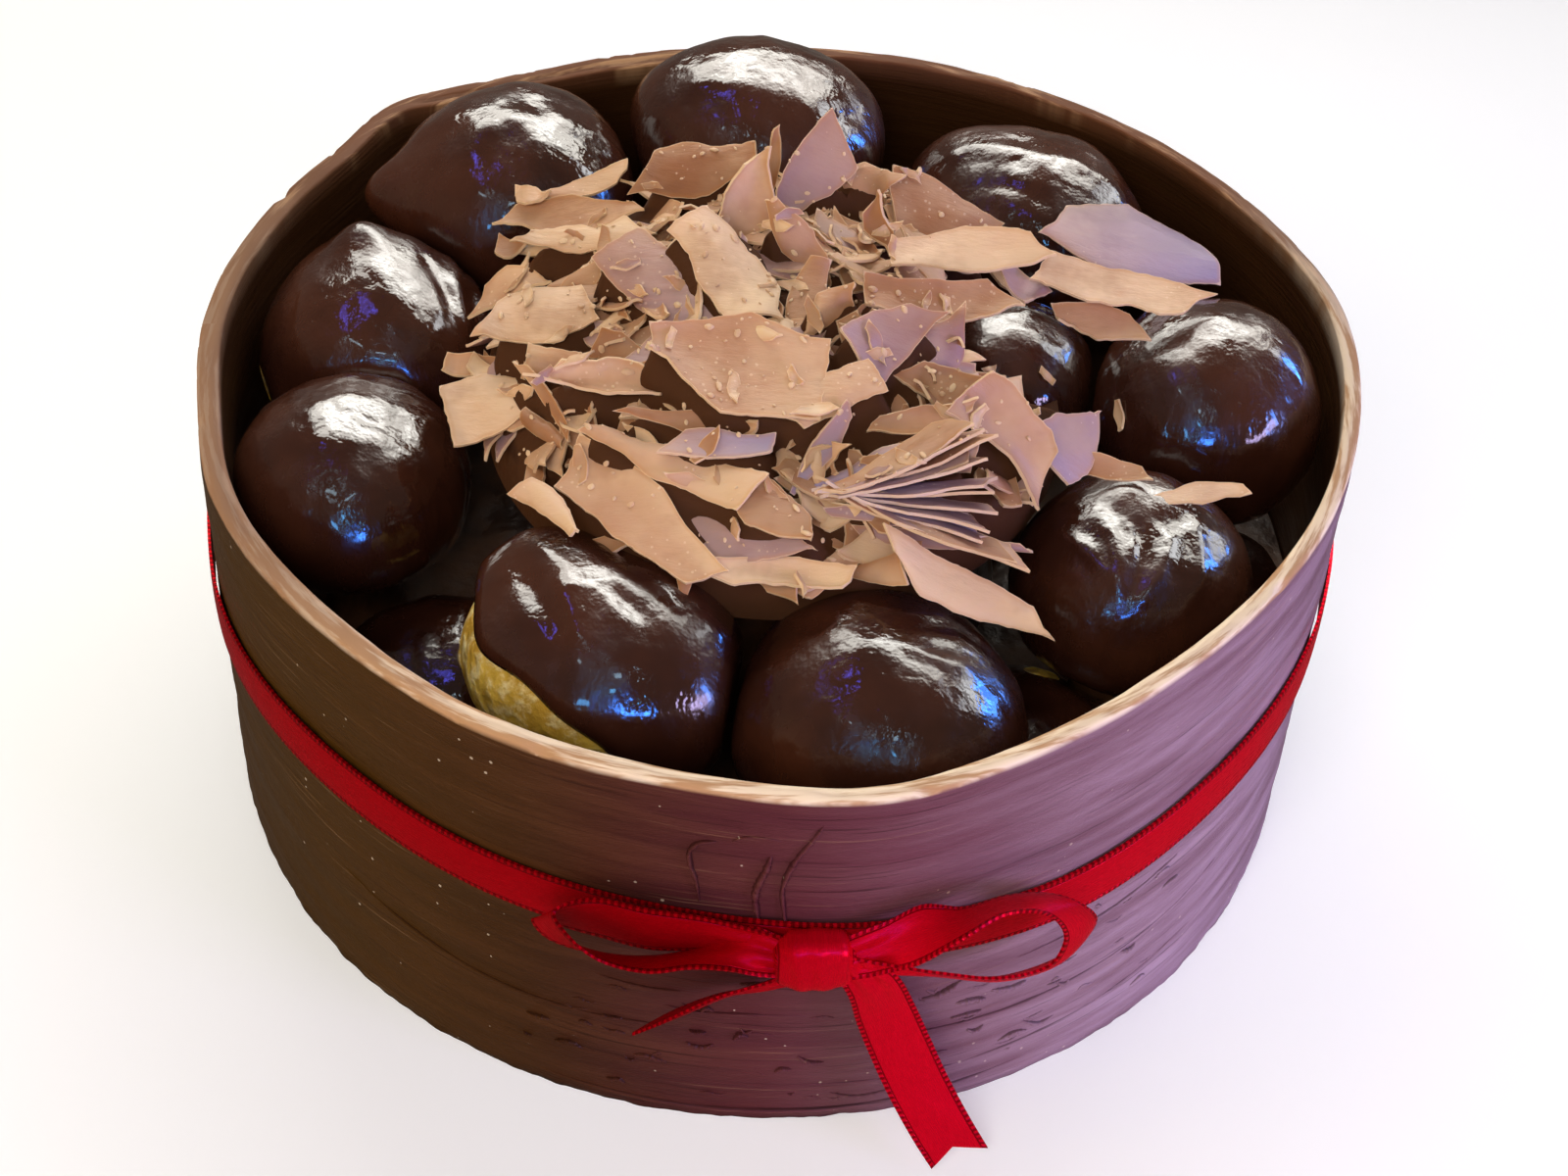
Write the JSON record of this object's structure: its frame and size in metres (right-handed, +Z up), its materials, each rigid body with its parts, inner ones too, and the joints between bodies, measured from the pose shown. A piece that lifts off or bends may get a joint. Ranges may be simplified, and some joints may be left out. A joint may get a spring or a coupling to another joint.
{
  "type": "profiterole cake",
  "caption": "Round profiterole cake: glazed choux buns and a heap of chocolate shavings stand inside a tall dark chocolate collar, with a satin ribbon tied in a bow round it",
  "frame": {"origin": "centre of the flat underside of the cake, on the surface that it stands on", "axes": "+Z up, -Y towards the bow at the front, +X to the right as seen from the front"},
  "size_m": [0.203, 0.2115, 0.1124],
  "materials": {
    "dark_chocolate": "dark chocolate, half matt, streaked and scratched",
    "chocolate_pile": "dark chocolate crumb, matt",
    "chocolate_glaze": "poured dark chocolate glaze, wet gloss",
    "choux_pastry": "baked choux pastry, golden, rough",
    "milk_chocolate": "thin milk chocolate, silky matt, broken edges",
    "satin_ribbon": "crimson satin ribbon with stitched edges"
  },
  "bodies": {
    "root": {"chocolate_collar": "dark_chocolate", "cake_filling": "chocolate_pile", "low_profiterole_1": "chocolate_glaze", "low_profiterole_2": "chocolate_glaze", "low_profiterole_3": "chocolate_glaze", "profiterole_1": "chocolate_glaze", "profiterole_2": "choux_pastry", "profiterole_3": "chocolate_glaze", "profiterole_4": "chocolate_glaze", "profiterole_5": "chocolate_glaze", "profiterole_6": "chocolate_glaze", "profiterole_7": "chocolate_glaze", "profiterole_8": "chocolate_glaze", "profiterole_9": "chocolate_glaze", "profiterole_10": "chocolate_glaze", "profiterole_2_glaze": "chocolate_glaze", "shavings": "milk_chocolate", "loose_shaving_1": "milk_chocolate", "loose_shaving_2": "milk_chocolate", "loose_shaving_3": "milk_chocolate", "ribbon": "satin_ribbon"}
  },
  "joints": []
}
